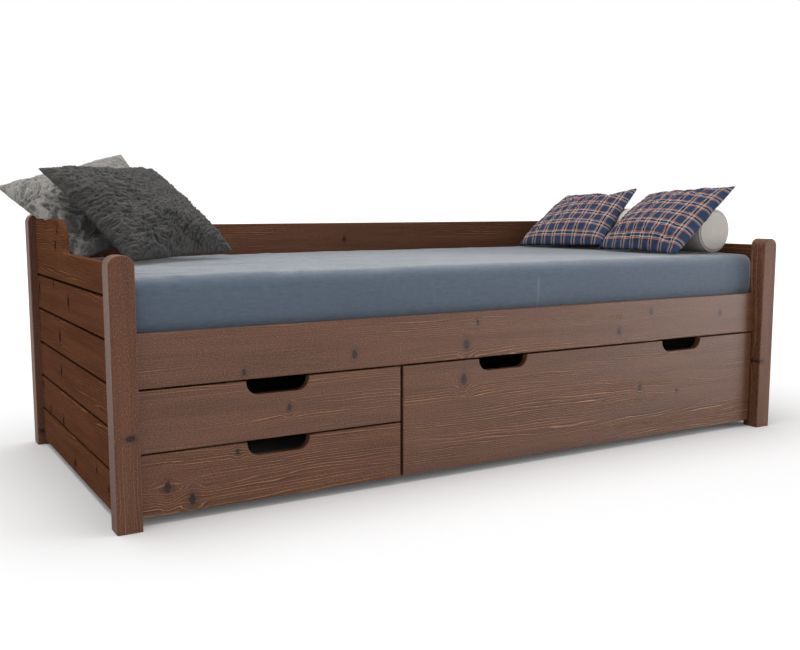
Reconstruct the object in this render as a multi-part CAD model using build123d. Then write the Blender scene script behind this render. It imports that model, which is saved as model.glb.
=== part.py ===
from build123d import *
import math
import os

# Storage bed with a slatted mattress space, two small drawers on wooden runners and one wide
# drawer on floor wheels, dressed with its mattress, four pillows and a bolster.
# All sizes are in millimetres. +X runs along the bed to the right, +Y to the wall side, +Z up.
# The origin lies on the floor, in the middle of the whole outline seen from above.

# Bed frame
rail_length = 2010           # clear length between the left and right posts
bed_depth = 1000             # from the front face of the front posts to the back of the back posts
bed_centre_x = 42            # half of what the light pillow stands out past the left posts
post_width = 57              # along the bed
post_depth = 55              # across the bed
front_post_height = 614
back_post_height = 695
post_top_radius = 25
post_edge_radius = 3

# End walls of horizontal boards, let into grooves in the posts
end_board_thickness = 20
end_board_setback = 20       # from the outer faces of the posts
end_board_height = 95
end_board_gap = 6
end_board_bottom = 15
lower_board_count = 5
low_end_top = 594            # top board beside the front post
high_end_top = 683           # top board beside the back post
step_y = 77                  # where the top board steps up
step_foot_radius = 21
step_crown_width = 60
step_crown_height = 43
board_edge_radius = 3
groove_depth = 10
groove_play = 0.2

# Rails and back board
rail_height = 125
rail_thickness = 20
rail_top = 439
front_rail_setback = 33      # from the front faces of the posts
back_rail_setback = 22       # from the back faces of the posts
back_board_gap = 6           # between back rail and back board
back_board_top = 660
tenon_length = 15
tenon_thickness = 12
tenon_shoulder = 15
tenon_play = 0.2
pin_diameter = 6
pin_length = 30
pin_edge_distance = 30       # from the top and bottom edges of a rail
pin_play = 0.1

# Ledgers and slats
ledger_height = 30
ledger_depth = 25
ledger_bottom = 326
ledger_end_play = 2
slat_count = 14
slat_width = 70
slat_thickness = 20
slat_end_play = 2
slat_row_inset = 20          # from the posts to the first and last slat

# Divider between the small drawers and the wide drawer
divider_offset = -320        # from the middle of the bed
divider_thickness = 18
divider_play = 0.3
divider_foot_setback = 80    # the foot stands this far behind the front edge

# Drawers
front_thickness = 20
front_bottom = 20
front_gap = 4                # rail to front, and front to front
front_post_gap = 3.5
front_divider_gap = 8        # between the small fronts and the wide front
front_edge_radius = 2
notch_width = 162
notch_depth = 34
notch_corner_radius = 31
notch_lip_radius = 2
wide_notch_offset = 340      # from the middle of the wide front
side_thickness = 15
housing_depth = 8            # how far the sides enter the front
housing_play = 0.2
panel_groove_depth = 6
panel_play = 0.2
small_side_height = 110
small_side_lift = 14         # bottom edge of a side above the bottom edge of its front
small_box_depth = 620
small_post_gap = 13          # side to post
small_divider_gap = 17       # side to divider
small_bottom_thickness = 6
small_bottom_lift = 10       # bottom panel above the bottom edge of the sides
wide_side_height = 220
wide_side_lift = 24
wide_box_depth = 850
wide_post_gap = 14
wide_divider_gap = 10
wide_bottom_thickness = 8
wide_bottom_lift = 16

# Wooden runners of the small drawers
runner_height = 20
runner_lift = 50             # above the bottom edge of the drawer side
runner_overhang = 33         # behind the backs of the small drawers
runner_groove_depth = 7
runner_side_play = 0.5
runner_top_play = 0.3
runner_bottom_play = 1
runner_front_play = 1
runner_screw_inset = 45

# Wheels of the wide drawer
wheel_radius = 20
wheel_width = 16
wheel_edge_radius = 2
wheel_dish_depth = 2
wheel_dish_radius = 15
wheel_hub_radius = 7
axle_diameter = 8
axle_head_diameter = 12
axle_head_thickness = 1.5
wheel_bore_play = 0.06       # running fit, on the radius
axle_seat_play = 0.05        # axle in its bracket, on the radius
bracket_thickness = 2.5
bracket_length = 56          # along the drawer's travel
bracket_cheek_length = 24
bracket_cheek_overhang = 9   # cheek below the axle
wheel_side_gap = 1
wheel_inset = 60             # wheel to drawer side
batten_width = 60
front_batten_setback = 70    # from the back of the drawer front to the batten
back_batten_setback = 60     # from the back panel to the batten

# Countersunk screws: shank diameter, length and head diameter
frame_screw = (5, 35, 9.5)
slat_screw = (4, 30, 7.5)
bracket_screw = (4, 14, 7.5)
screw_play = 0.1
screw_socket = 2.5           # across the flats of the hexagon socket
screw_socket_depth = 1.2
ledger_screw_count = 6
ledger_screw_lift = 9        # above the bottom of the ledger
divider_screw_sink = 10

# Mattress
mattress_end_play = 14       # to the end walls
mattress_front_play = 3      # behind the front rail
mattress_back_play = 5       # in front of the back rail
mattress_top = 566
mattress_bulge = 6           # of the front face above the rail
mattress_edge_round = 36
mattress_corner_radius = 40
mattress_side_line = 6       # where the bulge starts above the rail
soft_gap = 0.3               # between a soft piece and what it lies against

# Bolster along the right end
bolster_radius = 72
bolster_wall_distance = 109  # from the right end wall to the axis
bolster_back_play = 33       # in front of the back board
bolster_length = 800
bolster_edge_radius = 8

# Pillows: lower left, lower right, upper right and upper left corner of the seam, seen from the
# front of the pillow, then the crown in front of the seam, behind it, and the drawn-in sides.
# A corner is its distance from the nearer end wall, from the back board and above the mattress.
charcoal_pillow = ((125, 481, 7), (493, 289, 18), (333, -3, 267), (-35, 189, 256), 72, 36, 12)
light_pillow = ((67, 318, 8), (382, 138, 102), (252, -48, 314), (-125, 43, 208), 40, 48, 30)
back_plaid_pillow = ((311, 59, 5), (277, 478, 18), (67, 442, 215), (67, 46, 194), 52, 34, 14)
front_plaid_pillow = ((297, 494, 11), (311, 863, 5), (54, 863, 216), (54, 490, 195), 55, 34, 14)
pillow_seam = 4              # half of the thickness along the first and last seam
pillow_stations = (0, 0.05, 0.16, 0.33, 0.5, 0.67, 0.84, 0.95, 1)
pillow_fullness = 0.6        # how quickly the crown rises from the seam

# Places that follow from the sizes above
left_inner = bed_centre_x - rail_length / 2
right_inner = bed_centre_x + rail_length / 2
left_outer = left_inner - post_width
front_y = -bed_depth / 2
back_y = bed_depth / 2
front_inner_y = front_y + post_depth
back_inner_y = back_y - post_depth
board_outer_x = left_outer + end_board_setback
board_inner_x = board_outer_x + end_board_thickness
end_board_pitch = end_board_height + end_board_gap
top_board_bottom = end_board_bottom + lower_board_count * end_board_pitch
rail_bottom = rail_top - rail_height
front_rail_y = (front_y + front_rail_setback, front_y + front_rail_setback + rail_thickness)
back_rail_y = (back_y - back_rail_setback - rail_thickness, back_y - back_rail_setback)
back_board_bottom = rail_top + back_board_gap
ledger_top = ledger_bottom + ledger_height
front_ledger_y = (front_rail_y[1], front_rail_y[1] + ledger_depth)
back_ledger_y = (back_rail_y[0] - ledger_depth, back_rail_y[0])
slat_top = ledger_top + slat_thickness
divider_x = bed_centre_x + divider_offset
divider_left = divider_x - divider_thickness / 2
divider_right = divider_x + divider_thickness / 2
front_face_y = front_rail_y[0]
front_back_y = front_face_y + front_thickness
front_top = rail_bottom - front_gap
small_front_height = (front_top - front_bottom - front_gap) / 2
small_front_x = (left_inner + front_post_gap, divider_x - front_divider_gap / 2)
wide_front_x = (divider_x + front_divider_gap / 2, right_inner - front_post_gap)
small_box_x = (left_inner + small_post_gap, divider_left - small_divider_gap)
wide_box_x = (divider_right + wide_divider_gap, right_inner - wide_post_gap)
wide_side_bottom = front_bottom + wide_side_lift
mattress_bottom = slat_top + soft_gap
mattress_rest = mattress_top + soft_gap
right_wall_x = 2 * bed_centre_x - board_inner_x
mattress_x = (board_inner_x + mattress_end_play, right_wall_x - mattress_end_play)
bolster_x = right_wall_x - bolster_wall_distance
bolster_z = mattress_rest + bolster_radius
bolster_front = back_rail_y[0] - bolster_back_play - bolster_length
runner_y = (front_inner_y + runner_front_play, front_back_y + small_box_depth + runner_overhang)


def block(x, y, z):
    """A box between two limits on each axis."""
    middle = Pos((x[0] + x[1]) / 2, (y[0] + y[1]) / 2, (z[0] + z[1]) / 2)
    return middle * Box(x[1] - x[0], y[1] - y[0], z[1] - z[0])


def rod(start, direction, radius, length):
    """A round rod from a point, along a direction."""
    return Plane(origin=start, z_dir=direction) * Pos(0, 0, length / 2) * Cylinder(radius, length)


def grown(limits, amount):
    """Two limits moved apart by an amount at each end."""
    return (limits[0] - amount, limits[1] + amount)


def at_right(shape):
    """The mirror image of a left-hand piece at the right end of the bed."""
    return mirror(shape, about=Plane.YZ.offset(bed_centre_x))


def along(axis, edges):
    """The straight edges that run along one axis."""
    return edges.filter_by(GeomType.LINE).filter_by(axis)


def screw(size, point, facing):
    """A countersunk screw whose flat head lies at a point and faces a direction."""
    diameter, length, head = size
    cone = (head - diameter) / 2
    body = Pos(0, 0, -cone / 2) * Cone(diameter / 2, head / 2, cone)
    body += Pos(0, 0, -(cone + length - diameter) / 2) * Cylinder(diameter / 2, length - diameter - cone)
    body += Pos(0, 0, diameter / 2 - length) * Cone(diameter / 8, diameter / 2, diameter)
    socket = extrude(RegularPolygon(screw_socket / math.sqrt(3), 6), amount=-screw_socket_depth)
    return Plane(origin=point, z_dir=facing) * (body - socket)


def screw_hole(size, point, facing, sink=0):
    """The hole for a screw, with its countersink and a bore above the head."""
    diameter, length, head = size
    cone = (head - diameter) / 2
    depth = length + screw_play
    hole = Pos(0, 0, -depth / 2) * Cylinder(diameter / 2 + screw_play, depth)
    hole += Pos(0, 0, -cone / 2) * Cone(diameter / 2 + screw_play, head / 2 + screw_play, cone)
    hole += Pos(0, 0, (sink + 1) / 2) * Cylinder(head / 2 + screw_play, sink + 1)
    return Plane(origin=point, z_dir=facing) * hole


def quarter_arc(start, centre, end):
    """An arc of a quarter turn or less, from start to end about a centre."""
    radius = math.dist(start, centre)
    middle_x = (start[0] + end[0]) / 2 - centre[0]
    middle_y = (start[1] + end[1]) / 2 - centre[1]
    reach = radius / math.hypot(middle_x, middle_y)
    return ThreePointArc(start, (centre[0] + middle_x * reach, centre[1] + middle_y * reach), end)


def outline(*pieces):
    """A flat face inside a closed row of lines and arcs."""
    return make_face(Wire(list(pieces)))


def cross_board(y, z):
    """A board from post to post with a tenon at each end and the holes for its pins."""
    board = block((left_inner, right_inner), y, z)
    board = fillet(along(Axis.X, board.edges()), board_edge_radius)
    middle_y = (y[0] + y[1]) / 2
    tenon_y = (middle_y - tenon_thickness / 2, middle_y + tenon_thickness / 2)
    tenon_z = grown(z, -tenon_shoulder)
    board += block((left_inner - tenon_length, right_inner + tenon_length), tenon_y, tenon_z)
    for pin_x in (left_inner - tenon_length / 2, right_inner + tenon_length / 2):
        for pin_z in (z[0] + pin_edge_distance, z[1] - pin_edge_distance):
            board -= rod((pin_x, y[0] - 1, pin_z), (0, 1, 0), pin_diameter / 2 + pin_play, rail_thickness + 2)
    return board


def post_mortise(y, z):
    """The hole in a left-hand post for the tenon of one cross board."""
    middle_y = (y[0] + y[1]) / 2
    mortise_y = (middle_y - tenon_thickness / 2 - tenon_play, middle_y + tenon_thickness / 2 + tenon_play)
    mortise_z = grown(z, tenon_play - tenon_shoulder)
    return block((left_inner - tenon_length - tenon_play, left_inner + 1), mortise_y, mortise_z)


def post_pins(inner_y, inward, z, play=0):
    """The pins that hold one cross board in a left-hand post, pushed in from its inner face."""
    pins = []
    for pin_z in (z[0] + pin_edge_distance, z[1] - pin_edge_distance):
        start = (left_inner - tenon_length / 2, inner_y, pin_z)
        pins.append(rod(start, (0, -inward, 0), pin_diameter / 2 + play, pin_length + play))
    return pins


def left_post(height, y, boards, board_top):
    """A left-hand post with a rounded top, its board groove, and its mortises."""
    face = fillet(Rectangle(post_width, height).vertices().group_by(Axis.Y)[-1], post_top_radius)
    post = extrude(Plane.XZ * face, amount=post_depth)
    post = Pos(left_inner - post_width / 2, y[1], height / 2) * post
    rim = [e for e in post.edges() if e.bounding_box().size.Y < 0.01 and e.center().Z > 1]
    post = fillet(rim, post_edge_radius)
    inward = 1 if y[0] < 0 else -1
    inner_y = y[1] if inward > 0 else y[0]
    groove_y = sorted((inner_y - inward * (groove_depth + groove_play), inner_y + inward))
    groove_z = (end_board_bottom - groove_play, board_top + groove_play)
    post -= block(grown((board_outer_x, board_inner_x), groove_play), groove_y, groove_z)
    for board_y, board_z in boards:
        post -= post_mortise(board_y, board_z)
        for pin in post_pins(inner_y, inward, board_z, pin_play):
            post -= pin
    return post


def end_board(z):
    """One straight board of the left end wall."""
    tongue_y = (front_inner_y - groove_depth, back_inner_y + groove_depth)
    board = block((board_outer_x, board_inner_x), tongue_y, z)
    return fillet(along(Axis.Y, board.edges()), board_edge_radius)


def end_top_board():
    """The top board of the left end wall, which steps up to the wall side in an S curve."""
    start_y = front_inner_y - groove_depth
    end_y = back_inner_y + groove_depth
    foot = step_foot_radius
    shoulder = (step_y, high_end_top - step_crown_height)
    crown_end = (step_y + step_crown_width, high_end_top)
    crown_radius = (step_crown_width ** 2 + step_crown_height ** 2) / (2 * step_crown_height)
    low_corner = (start_y, low_end_top)
    foot_start = (step_y - foot, low_end_top)
    foot_end = (step_y, low_end_top + foot)
    face = outline(
        Line((start_y, top_board_bottom), low_corner),
        Line(low_corner, foot_start),
        quarter_arc(foot_start, (step_y - foot, low_end_top + foot), foot_end),
        Line(foot_end, shoulder),
        quarter_arc(shoulder, (crown_end[0], high_end_top - crown_radius), crown_end),
        Line(crown_end, (end_y, high_end_top)),
        Line((end_y, high_end_top), (end_y, top_board_bottom)),
        Line((end_y, top_board_bottom), (start_y, top_board_bottom)),
    )
    board = Pos(board_outer_x, 0, 0) * extrude(Plane.YZ * face, amount=end_board_thickness)
    rim = [e for e in board.edges() if e.bounding_box().size.X < 0.01 and e.bounding_box().size.Y > 0.01]
    rim += [e for e in board.edges() if e.bounding_box().size.X < 0.01
            and abs(e.center().Y - step_y) < 0.01]
    return fillet(rim, board_edge_radius)


def ledger_screw_places():
    """Where screws pass through a ledger, as places along the bed."""
    span = rail_length - 2 * slat_row_inset - slat_width
    pitch = span / (slat_count - 1)
    first = left_inner + slat_row_inset + slat_width / 2 + pitch / 2
    step = (slat_count - 2) * pitch / (ledger_screw_count - 1)
    return [first + step * i for i in range(ledger_screw_count)]


def slat_places():
    """The middle of each slat along the bed."""
    first = left_inner + slat_row_inset + slat_width / 2
    pitch = (rail_length - 2 * slat_row_inset - slat_width) / (slat_count - 1)
    return [first + pitch * i for i in range(slat_count)]


def ledger_screw_seats():
    """Head point and facing of each screw that holds a ledger to its rail."""
    seats = []
    for x in ledger_screw_places():
        z = ledger_bottom + ledger_screw_lift
        seats.append(((x, front_ledger_y[1], z), (0, 1, 0)))
        seats.append(((x, back_ledger_y[0], z), (0, -1, 0)))
    return seats


def divider_screw_seats():
    """Head point and facing of the screws that hold the divider under the ledgers."""
    z = ledger_top - divider_screw_sink
    return [((divider_x, sum(y) / 2, z), (0, 0, 1)) for y in (front_ledger_y, back_ledger_y)]


def slat_screw_seats():
    """Head point and facing of the screws that hold the slats to the ledgers."""
    rows = (sum(front_ledger_y) / 2, sum(back_ledger_y) / 2)
    return [((x, y, slat_top), (0, 0, 1)) for x in slat_places() for y in rows]


def runner_bottoms():
    """The bottom of the runners of the lower and of the upper drawer."""
    lower = front_bottom + small_side_lift + runner_lift
    return (lower, lower + small_front_height + front_gap)


def runner_reach():
    """How far the left runners and the divider runners stand out, as limits along the bed."""
    left = (board_inner_x, small_box_x[0] + runner_groove_depth - runner_side_play)
    right = (small_box_x[1] - runner_groove_depth + runner_side_play, divider_left)
    return left, right


def runner_screw_seats():
    """Head point, facing and depth of the bore of the screws that hold the runners."""
    left, right = runner_reach()
    sink = left[1] - left[0] - (right[1] - right[0])
    start, end = grown(runner_y, -runner_screw_inset)
    step = (end - start) / 2
    seats = []
    for bottom in runner_bottoms():
        for i in range(3):
            y = start + i * step
            z = bottom + runner_height / 2
            seats.append(((left[1] - sink, y, z), (1, 0, 0), sink))
            seats.append(((right[0], y, z), (-1, 0, 0), 0))
    return seats


def ledger(y):
    """A ledger along a rail, which carries the slats."""
    bar = block(grown((left_inner, right_inner), -ledger_end_play), y, (ledger_bottom, ledger_top))
    for point, facing in ledger_screw_seats():
        if y[0] - 1 < point[1] < y[1] + 1:
            bar -= screw_hole(frame_screw, point, facing)
    for point, facing in divider_screw_seats():
        if y[0] < point[1] < y[1]:
            bar -= screw_hole(frame_screw, point, facing, divider_screw_sink)
    for point, facing in slat_screw_seats():
        if y[0] < point[1] < y[1]:
            bar -= screw_hole(slat_screw, point, facing)
    return bar


def slats():
    """The row of slats that carries the mattress."""
    y = (front_rail_y[1] + slat_end_play, back_rail_y[0] - slat_end_play)
    row = []
    for x in slat_places():
        slat = block((x - slat_width / 2, x + slat_width / 2), y, (ledger_top, slat_top))
        for point, facing in slat_screw_seats():
            if abs(point[0] - x) < 1:
                slat -= screw_hole(slat_screw, point, facing)
        row.append(slat)
    return row


def divider():
    """The upright panel between the small drawers and the wide drawer."""
    y = (front_rail_y[1] + divider_play, back_rail_y[0] - divider_play)
    panel = block((divider_left, divider_right), y, (0, ledger_bottom))
    panel -= block((divider_left - 1, divider_right + 1), (y[0] - 1, y[0] + divider_foot_setback),
                   (-1, front_bottom))
    for point, facing in divider_screw_seats():
        panel -= screw_hole(frame_screw, point, facing)
    for point, facing, sink in runner_screw_seats():
        if facing[0] < 0:
            panel -= screw_hole(frame_screw, point, facing)
    return panel


def runners():
    """The four wooden runners of the small drawers."""
    bars = []
    for x in runner_reach():
        for bottom in runner_bottoms():
            bar = block(x, runner_y, (bottom, bottom + runner_height))
            for point, facing, sink in runner_screw_seats():
                bar -= screw_hole(frame_screw, point, facing, sink)
            bars.append(bar)
    return bars


def with_runner_screws(board):
    """A board of the left end wall with the holes of the runner screws."""
    for point, facing, sink in runner_screw_seats():
        if facing[0] > 0:
            board -= screw_hole(frame_screw, point, facing, 1)
    return board


def rail_with_screws(rail):
    """A rail with the holes of the ledger screws."""
    for point, facing in ledger_screw_seats():
        rail -= screw_hole(frame_screw, point, facing)
    return rail


def drawer_front(x, z, notches):
    """A drawer front with rounded finger notches in its top edge."""
    width = x[1] - x[0]
    height = z[1] - z[0]
    face = Rectangle(width, height)
    lips = []
    for offset in notches:
        notch = Pos(offset, height / 2) * Rectangle(notch_width, 2 * notch_depth)
        face -= fillet(notch.vertices(), notch_corner_radius)
        lips += [offset - notch_width / 2, offset + notch_width / 2]
    corners = [v for v in face.vertices() if v.Y > height / 2 - 0.1
               and min(abs(v.X - lip) for lip in lips) < 0.1]
    face = fillet(corners, notch_lip_radius)
    front = extrude(Plane.XZ * face, amount=front_thickness)
    front = Pos((x[0] + x[1]) / 2, front_back_y, (z[0] + z[1]) / 2) * front
    rim = [e for e in front.edges() if abs(e.bounding_box().max.Y - front_face_y) < 0.01]
    return fillet(rim, front_edge_radius)


def drawer_box(front, x, side_bottom, side_height, depth, bottom_lift, bottom_thickness):
    """The front with its housings, two sides, back and bottom of one drawer, and its screws."""
    back_end = front_back_y + depth
    side_z = (side_bottom, side_bottom + side_height)
    side_y = (front_back_y - housing_depth, back_end)
    inner = (x[0] + side_thickness, x[1] - side_thickness)
    panel_z = (side_bottom + bottom_lift, side_bottom + bottom_lift + bottom_thickness)
    panel_groove = block(grown(inner, panel_groove_depth + panel_play),
                         (front_back_y - panel_groove_depth - panel_play, back_end + 1),
                         grown(panel_z, panel_play))
    back_y_limits = (back_end - side_thickness, back_end)
    left_side = block((x[0], inner[0]), side_y, side_z)
    right_side = block((inner[1], x[1]), side_y, side_z)
    back = block(inner, back_y_limits, (panel_z[1] + panel_play, side_z[1]))
    bottom = block(grown(inner, panel_groove_depth), (front_back_y - panel_groove_depth, back_end), panel_z)
    housing_y = (front_back_y - housing_depth - housing_play, front_back_y + 1)
    for side_x in ((x[0], inner[0]), (inner[1], x[1])):
        front -= block(grown(side_x, housing_play), housing_y, grown(side_z, housing_play))
    front -= panel_groove
    left_side -= panel_groove
    right_side -= panel_groove
    screws = []
    for z in (side_z[0] + side_height / 3, side_z[1] - side_height / 5):
        for point, facing in (((x[0], back_end - side_thickness / 2, z), (-1, 0, 0)),
                              ((x[1], back_end - side_thickness / 2, z), (1, 0, 0))):
            hole = screw_hole(slat_screw, point, facing)
            left_side -= hole
            right_side -= hole
            back -= hole
            screws.append(screw(slat_screw, point, facing))
    return {"front": front, "left_side": left_side, "right_side": right_side,
            "back": back, "bottom": bottom, "screws": screws}


def small_drawer(level):
    """The lower (0) or upper (1) small drawer, with grooves for its runners."""
    bottom = front_bottom + level * (small_front_height + front_gap)
    front = drawer_front(small_front_x, (bottom, bottom + small_front_height), (0,))
    box = drawer_box(front, small_box_x, bottom + small_side_lift, small_side_height,
                     small_box_depth, small_bottom_lift, small_bottom_thickness)
    runner = runner_bottoms()[level]
    groove_y = (front_inner_y, front_back_y + small_box_depth + 1)
    groove_z = (runner - runner_bottom_play, runner + runner_height + runner_top_play)
    outer = grown(small_box_x, -runner_groove_depth)
    box["left_side"] -= block((small_box_x[0] - 1, outer[0]), groove_y, groove_z)
    box["right_side"] -= block((outer[1], small_box_x[1] + 1), groove_y, groove_z)
    return box


def wheel_places():
    """The middle of each wheel of the wide drawer, by name."""
    left = wide_box_x[0] + side_thickness + wheel_inset
    right = wide_box_x[1] - side_thickness - wheel_inset
    front, back = [sum(y) / 2 for y in batten_limits()]
    return {"front_left": (left, front), "front_right": (right, front),
            "back_left": (left, back), "back_right": (right, back)}


def batten_limits():
    """The front and back battens under the wide drawer, as limits across the bed."""
    front = front_back_y + front_batten_setback
    back = front_back_y + wide_box_depth - side_thickness - back_batten_setback
    return (front, front + batten_width), (back - batten_width, back)


def batten_screw_seats():
    """Head point and facing of the screws through the sides into the battens."""
    z = wide_side_bottom + wide_bottom_lift / 2
    ends = ((wide_box_x[0], (-1, 0, 0)), (wide_box_x[1], (1, 0, 0)))
    return [((x, sum(y) / 2, z), facing) for x, facing in ends for y in batten_limits()]


def bracket_screw_seats():
    """Head point and facing of the screws that hold the wheel brackets."""
    z = wide_side_bottom - bracket_thickness
    reach = (bracket_length + bracket_cheek_length) / 4
    places = wheel_places().values()
    return [((x, y + side * reach, z), (0, 0, -1)) for x, y in places for side in (-1, 1)]


def wide_drawer():
    """The wide drawer with the battens that carry its wheels."""
    front = drawer_front(wide_front_x, (front_bottom, front_top), (-wide_notch_offset, wide_notch_offset))
    box = drawer_box(front, wide_box_x, wide_side_bottom, wide_side_height,
                     wide_box_depth, wide_bottom_lift, wide_bottom_thickness)
    span = (wide_box_x[0] + side_thickness, wide_box_x[1] - side_thickness)
    battens = []
    for y in batten_limits():
        batten = block(span, y, (wide_side_bottom, wide_side_bottom + wide_bottom_lift))
        for point, facing in batten_screw_seats() + bracket_screw_seats():
            size = bracket_screw if facing[2] else slat_screw
            if y[0] < point[1] < y[1]:
                batten -= screw_hole(size, point, facing)
        battens.append(batten)
    for point, facing in batten_screw_seats():
        name = "left_side" if facing[0] < 0 else "right_side"
        box[name] -= screw_hole(slat_screw, point, facing)
        box["screws"].append(screw(slat_screw, point, facing))
    box["battens"] = battens
    return box


def wheel(x, y):
    """A solid wheel with dished faces, turning on its axle."""
    body = Cylinder(wheel_radius, wheel_width)
    body = fillet(body.edges().filter_by(GeomType.CIRCLE), wheel_edge_radius)
    dish = Cylinder(wheel_dish_radius, wheel_dish_depth) - Cylinder(wheel_hub_radius, wheel_dish_depth)
    for side in (-1, 1):
        body -= Pos(0, 0, side * (wheel_width - wheel_dish_depth) / 2) * dish
    body -= Cylinder(axle_diameter / 2 + wheel_bore_play, wheel_width + 2)
    return Pos(x, y, wheel_radius) * Rot(0, 90, 0) * body


def wheel_bracket(x, y):
    """A bent steel bracket with two cheeks that hold an axle."""
    top = wide_side_bottom
    inner = wheel_width / 2 + wheel_side_gap
    width = inner + bracket_thickness
    bracket = block((x - width, x + width), (y - bracket_length / 2, y + bracket_length / 2),
                    (top - bracket_thickness, top))
    cheek_end = wheel_radius - bracket_cheek_overhang
    half = bracket_cheek_length / 2
    cheek_y = (y - half, y + half)
    for cheek_x in ((x - width, x - inner), (x + inner, x + width)):
        cheek = block(cheek_x, cheek_y, (cheek_end, top - bracket_thickness))
        corners = [e for e in along(Axis.X, cheek.edges()) if e.center().Z < cheek_end + 1]
        bracket += fillet(corners, bracket_cheek_overhang)
    bore_radius = axle_diameter / 2 + axle_seat_play
    bracket -= rod((x - width - 1, y, wheel_radius), (1, 0, 0), bore_radius, 2 * width + 2)
    for point, facing in bracket_screw_seats():
        bracket -= screw_hole(bracket_screw, point, facing)
    return bracket


def wheel_axle(x, y):
    """A riveted axle through the cheeks of a bracket."""
    half = wheel_width / 2 + wheel_side_gap + bracket_thickness + axle_seat_play
    axle = Cylinder(axle_diameter / 2, 2 * half)
    for side in (-1, 1):
        head = Pos(0, 0, side * (half + axle_head_thickness / 2))
        axle += head * Cylinder(axle_head_diameter / 2, axle_head_thickness)
    return Pos(x, y, wheel_radius) * Rot(0, 90, 0) * axle


def mattress():
    """The covered mattress, with a bulging front face and rounded edges and corners."""
    front = front_rail_y[1] + mattress_front_play
    back = back_rail_y[0] - mattress_back_play
    low = mattress_bottom
    top = mattress_top
    start = rail_top + mattress_side_line
    edge = mattress_edge_round
    brow = (front - mattress_bulge / 2, top - edge)
    middle_z = (start + brow[1]) / 2
    section = outline(
        Line((front, low), (front, start)),
        ThreePointArc((front, start), (front - mattress_bulge, middle_z), brow),
        quarter_arc(brow, (brow[0] + edge, top - edge), (brow[0] + edge, top)),
        Line((brow[0] + edge, top), (back - edge, top)),
        quarter_arc((back - edge, top), (back - edge, top - edge), (back, top - edge)),
        Line((back, top - edge), (back, low)),
        Line((back, low), (front, low)),
    )
    length = mattress_x[1] - mattress_x[0]
    body = Pos(mattress_x[0], 0, 0) * extrude(Plane.YZ * section, amount=length)
    depth = back - front + mattress_bulge
    plan = fillet(Rectangle(length, depth).vertices(), mattress_corner_radius)
    body &= Pos(bed_centre_x, back - depth / 2, low) * extrude(plan, amount=top - low)
    tall = top - low
    face = fillet(Rectangle(length, tall).vertices().group_by(Axis.Y)[-1], edge)
    body &= Pos(bed_centre_x, back, low + tall / 2) * extrude(Plane.XZ * face, amount=depth)
    return body


def bolster(play=0):
    """The round bolster that lies across the bed at the right end."""
    start = (bolster_x, bolster_front - play, bolster_z)
    body = rod(start, (0, 1, 0), bolster_radius + play, bolster_length + 2 * play)
    return fillet(body.edges().filter_by(GeomType.CIRCLE), bolster_edge_radius)


def pillow(shape, wall_x, play=0):
    """A pillow by one end wall, lofted through lens-shaped sections between its side seams."""
    *seam, crown, hollow, drawn_in = shape
    inward = 1 if wall_x < bed_centre_x else -1
    corners = [Vector(wall_x + inward * x, back_rail_y[0] - y, mattress_top + z) for x, y, z in seam]
    centre = (corners[0] + corners[1] + corners[2] + corners[3]) * 0.25
    corners = [c + (c - centre).normalized() * play for c in corners]
    upward = corners[3] + corners[2] - corners[0] - corners[1]
    sections = []
    for s in pillow_stations:
        left = corners[0] + (corners[3] - corners[0]) * s
        right = corners[1] + (corners[2] - corners[1]) * s
        across = (right - left).normalized()
        pull = across * (4 * s * (1 - s) * drawn_in)
        left, right = left + pull, right - pull
        facing = across.cross(upward).normalized()
        rise = (4 * s * (1 - s)) ** pillow_fullness
        front = pillow_seam + play + (crown - pillow_seam) * rise
        behind = pillow_seam + play + (hollow - pillow_seam) * rise
        middle = (left + right) * 0.5
        sections.append(make_face(Wire([
            ThreePointArc(left, middle + facing * front, right),
            ThreePointArc(right, middle - facing * behind, left),
        ])))
    return loft(sections)


def pillow_cutters():
    """The mattress top, end wall, posts and back board that the pillows lie against."""
    reach = bed_depth
    under = block((-2 * reach, 2 * reach), (-reach, reach), (0, mattress_rest))
    wall = block(grown((board_outer_x, board_inner_x), soft_gap), (step_y - soft_gap, reach),
                 (0, high_end_top + soft_gap))
    post = block(grown((left_outer, left_inner), soft_gap), (back_inner_y - soft_gap, reach),
                 (0, back_post_height + soft_gap))
    back = block((-2 * reach, 2 * reach), grown(back_rail_y, soft_gap), (0, back_board_top + soft_gap))
    return under, wall, post, back


def lying(piece, *cutters):
    """A soft piece pressed against its neighbours, as one solid."""
    for cutter in cutters:
        piece -= cutter
    return piece.solids().sort_by(SortBy.VOLUME)[-1]


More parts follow.
